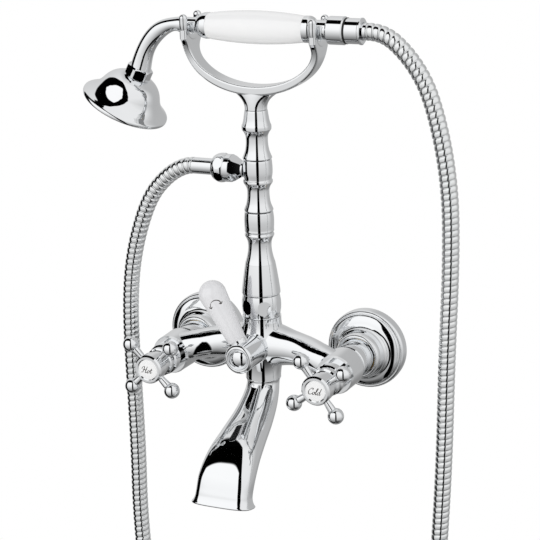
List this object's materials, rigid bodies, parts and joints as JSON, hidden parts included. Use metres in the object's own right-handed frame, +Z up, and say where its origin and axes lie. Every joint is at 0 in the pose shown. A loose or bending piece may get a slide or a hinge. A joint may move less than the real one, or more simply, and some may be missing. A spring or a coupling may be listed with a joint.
{
  "type": "wall-mounted bath mixer with hand shower",
  "caption": "Wall-mounted chrome bath mixer with cross handles, a diverter lever, a curved spout, a tall column and a hand shower on a cradle with its hose.",
  "frame": {"origin": "on the wall's face, midway between the two wall inlets", "axes": "+Y into the wall along the inlets, +X to the right as the user faces the mixer, +Z up along the column"},
  "size_m": [0.3294, 0.1718, 0.7171],
  "materials": {
    "chrome": "polished",
    "spray_plate": "satin",
    "hose_steel": "polished",
    "brass": "turned",
    "rubber": "matte",
    "porcelain": "glazed"
  },
  "bodies": {
    "mixer": {"cartridge_seals": "rubber", "cold_cartridge": "brass", "cold_union_nut": "chrome", "cold_valve_shroud": "chrome", "cold_wall_flange": "chrome", "cold_wall_union": "brass", "column_lower": "chrome", "column_nut": "chrome", "column_o_ring": "rubber", "column_seal": "rubber", "column_tee": "chrome", "column_upper": "chrome", "cradle_fork": "chrome", "cradle_prongs_left": "chrome", "cradle_prongs_right": "chrome", "diverter_cartridge": "brass", "hose_ferrule_lower": "chrome", "hose_nut_lower": "chrome", "hose_outlet": "chrome", "hose_washer_lower": "rubber", "hot_cartridge": "brass", "hot_union_nut": "chrome", "hot_valve_shroud": "chrome", "hot_wall_flange": "chrome", "hot_wall_union": "brass", "mixer_body": "chrome", "shower_hose": "hose_steel", "spout": "chrome", "spout_seal": "rubber", "union_washers": "rubber"},
    "hot_valve": {"hot_handle": "chrome", "hot_handle_screw": "brass", "hot_index_ring": "chrome", "hot_index_disc": "porcelain", "hot_spindle": "brass"},
    "cold_valve": {"cold_handle": "chrome", "cold_handle_screw": "brass", "cold_index_ring": "chrome", "cold_index_disc": "porcelain", "cold_spindle": "brass"},
    "diverter": {"diverter_hub": "chrome", "diverter_cap": "chrome", "diverter_screw": "brass", "diverter_spindle": "brass", "lever_stud": "brass", "diverter_lever": "porcelain"},
    "hose_end": {"hose_ferrule_upper": "chrome", "hose_washer_upper": "rubber", "hose_nut_upper": "chrome"},
    "handset": {"handset_inlet": "chrome", "inlet_o_ring": "rubber", "handset_core": "brass", "grip_ferrule_right": "chrome", "grip_ferrule_left": "chrome", "handset_grip": "porcelain", "handset_neck": "chrome", "rose_nut": "chrome", "rose_bell": "chrome", "rose_seal": "rubber", "rose_plate": "spray_plate"}
  },
  "joints": [
    {"name": "hot_turn", "type": "hinge", "parent": "mixer", "child": "hot_valve", "pos_m": [-0.075, -0.1125, 0], "axis": [0, -1, 0], "range_deg": [0, 90]},
    {"name": "cold_turn", "type": "hinge", "parent": "mixer", "child": "cold_valve", "pos_m": [0.075, -0.1125, 0], "axis": [0, 1, 0], "range_deg": [0, 90]},
    {"name": "diverter_turn", "type": "hinge", "parent": "mixer", "child": "diverter", "pos_m": [0, -0.089, 0.012], "axis": [0, 1, 0], "range_deg": [0, 60]},
    {"name": "handset_lift", "type": "slide", "parent": "mixer", "child": "hose_end", "axis": [0, 0, 1], "range_m": [0, 0.08], "deforming": ["shower_hose"]},
    {"name": "handset_swivel", "type": "hinge", "parent": "hose_end", "child": "handset", "pos_m": [0, -0.0536, 0.2768], "axis": [-1, 0, 0], "range_deg": [-5, 90]}
  ]
}
